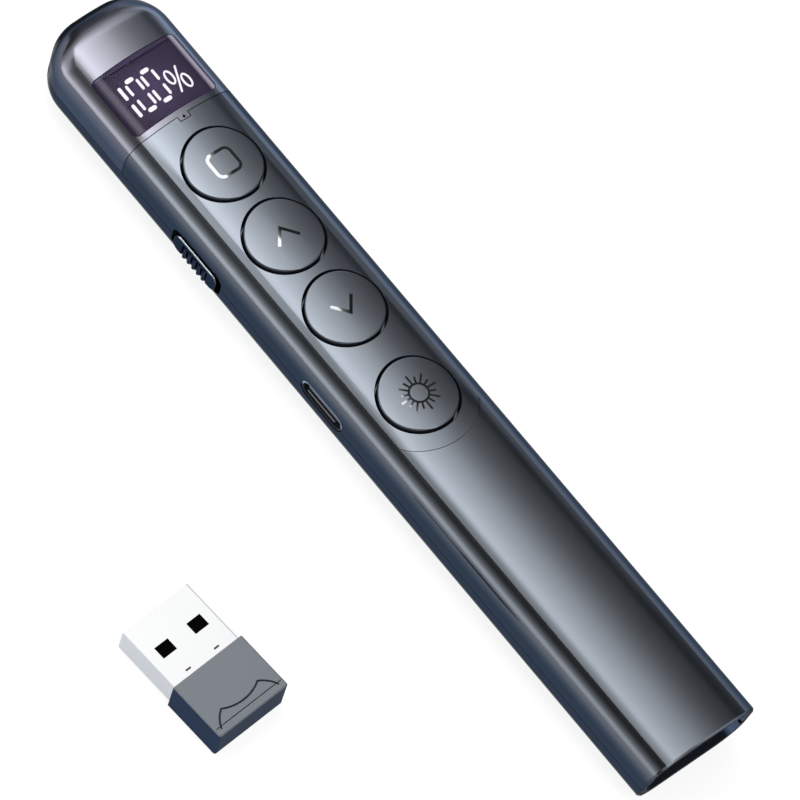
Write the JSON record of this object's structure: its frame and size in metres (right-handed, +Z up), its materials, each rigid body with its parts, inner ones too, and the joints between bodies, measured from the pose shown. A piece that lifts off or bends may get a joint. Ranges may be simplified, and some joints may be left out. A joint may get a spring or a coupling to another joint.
{
  "type": "wireless presentation clicker",
  "caption": "Slim pen-shaped presentation remote with round keys, a lit readout window, a laser end, a side power slider, a charging port and a stowable plug-in radio receiver.",
  "frame": {"origin": "on the rest face under the clicker's back, at mid-length and mid-width", "axes": "+Z up out of the key face, +Y along the clicker towards the laser end, +X to the right of the keys"},
  "size_m": [0.0634, 0.1385, 0.0133],
  "materials": {
    "body_coat": "satin gun-metal metallic coat",
    "head_coat": "satin silver metallic coat",
    "key_coat": "satin gun-metal metallic coat",
    "icon_bright": "polished inlay",
    "lens_tint": "polished, dark purple tint",
    "mask_black": "matt black",
    "led_white": "lit white segments",
    "clear_plastic": "clear moulding",
    "board_green": "solder mask",
    "chip_black": "moulded chip package",
    "plated_steel": "bright nickel plate",
    "plain_brass": "turned",
    "gold_contact": "gold flash",
    "battery_foil": "pouch foil",
    "foam_pad": "closed-cell foam",
    "bay_black": "matt black",
    "cap_coat": "satin slate metallic coat",
    "insulator_black": "moulded insulator",
    "white_part": "ceramic and moulded white"
  },
  "bodies": {
    "casing": {"back_shell": "body_coat", "front_shell": "body_coat", "head_cover": "head_coat", "display_lens": "lens_tint", "display_frame": "mask_black", "display_digits": "led_white", "display_board": "board_green", "display_connector": "insulator_black", "indicator_led": "white_part", "indicator_light_pipe": "clear_plastic", "laser_barrel": "plain_brass", "laser_lens": "clear_plastic", "laser_bezel": "plated_steel", "main_board": "board_green", "board_screws": "plated_steel", "radio_chip": "chip_black", "charge_chip": "chip_black", "clock_crystal": "plated_steel", "board_passives": "white_part", "slide_switch_frame": "plated_steel", "usb_port_shell": "plated_steel", "usb_port_tongue": "insulator_black", "usb_port_contacts": "gold_contact", "battery_cell": "battery_foil", "battery_pad": "foam_pad", "battery_tabs": "plated_steel", "receiver_bay": "bay_black", "window_switch_base": "chip_black", "page_up_switch_base": "chip_black", "page_down_switch_base": "chip_black", "spotlight_switch_base": "chip_black"},
    "window_key": {"window_button": "key_coat", "window_icon": "icon_bright", "window_switch_plunger": "insulator_black"},
    "page_up_key": {"page_up_button": "key_coat", "page_up_icon": "icon_bright", "page_up_switch_plunger": "insulator_black"},
    "page_down_key": {"page_down_button": "key_coat", "page_down_icon": "icon_bright", "page_down_switch_plunger": "insulator_black"},
    "spotlight_key": {"spotlight_button": "key_coat", "spotlight_icon": "icon_bright", "spotlight_switch_plunger": "insulator_black"},
    "power_switch": {"power_slider": "body_coat", "slide_switch_lever": "insulator_black"},
    "receiver": {"receiver_cap": "cap_coat", "receiver_shell": "plated_steel", "receiver_tongue": "insulator_black", "receiver_contacts": "gold_contact", "receiver_board": "board_green", "receiver_chip": "chip_black"}
  },
  "joints": [
    {"name": "window_press", "type": "slide", "parent": "casing", "child": "window_key", "axis": [0, 0, 1], "range_m": [-0.0004, 0], "stiffness_N_per_m": 3000},
    {"name": "page_up_press", "type": "slide", "parent": "casing", "child": "page_up_key", "axis": [0, 0, 1], "range_m": [-0.0004, 0], "stiffness_N_per_m": 3000},
    {"name": "page_down_press", "type": "slide", "parent": "casing", "child": "page_down_key", "axis": [0, 0, 1], "range_m": [-0.0004, 0], "stiffness_N_per_m": 3000},
    {"name": "spotlight_press", "type": "slide", "parent": "casing", "child": "spotlight_key", "axis": [0, 0, 1], "range_m": [-0.0004, 0], "stiffness_N_per_m": 3000},
    {"name": "power_slide", "type": "slide", "parent": "casing", "child": "power_switch", "axis": [0, 1, 0], "range_m": [-0.0007, 0.0007]},
    {"name": "receiver_lift", "type": "slide", "parent": "casing", "child": "receiver", "axis": [0, 0, 1], "range_m": [0, 0.03]}
  ]
}
